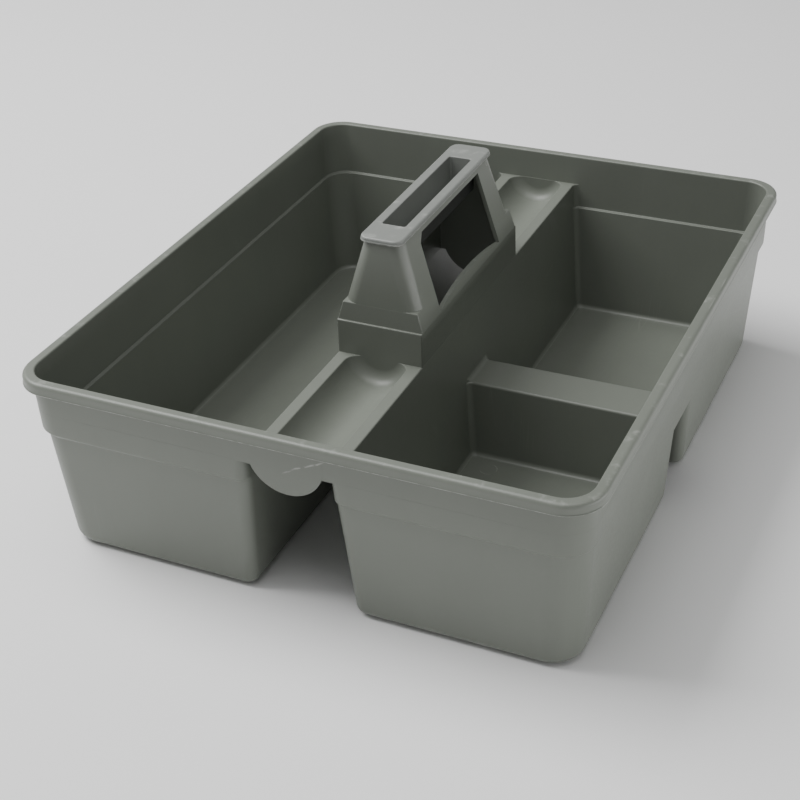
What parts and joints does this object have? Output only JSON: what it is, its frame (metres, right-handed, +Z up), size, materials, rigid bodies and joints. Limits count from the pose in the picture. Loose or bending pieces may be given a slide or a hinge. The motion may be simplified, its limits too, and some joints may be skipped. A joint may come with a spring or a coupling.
{
  "type": "tool storage caddy",
  "caption": "Open plastic tool caddy: a long bin beside two shorter ones, a troughed spine and a raised hollow handle with a slotted grip.",
  "frame": {"origin": "on the ground, under the middle of the tray", "axes": "+Z up; +Y along the tray's length and its handle, towards the back; +X to the right, towards the side with the divided bins"},
  "size_m": [0.344, 0.4, 0.172],
  "materials": {
    "tray_plastic": "satin moulded polypropylene, grey with a slight green cast",
    "grip_plastic": "satin moulded polypropylene, a little paler than the tray"
  },
  "bodies": {
    "root": {"rim_band": "tray_plastic", "left_bin": "tray_plastic", "front_right_bin": "tray_plastic", "rear_right_bin": "tray_plastic", "cross_bridge": "tray_plastic", "front_trough": "tray_plastic", "rear_trough": "tray_plastic", "handle_column": "tray_plastic", "grip_channel": "grip_plastic"}
  },
  "joints": []
}
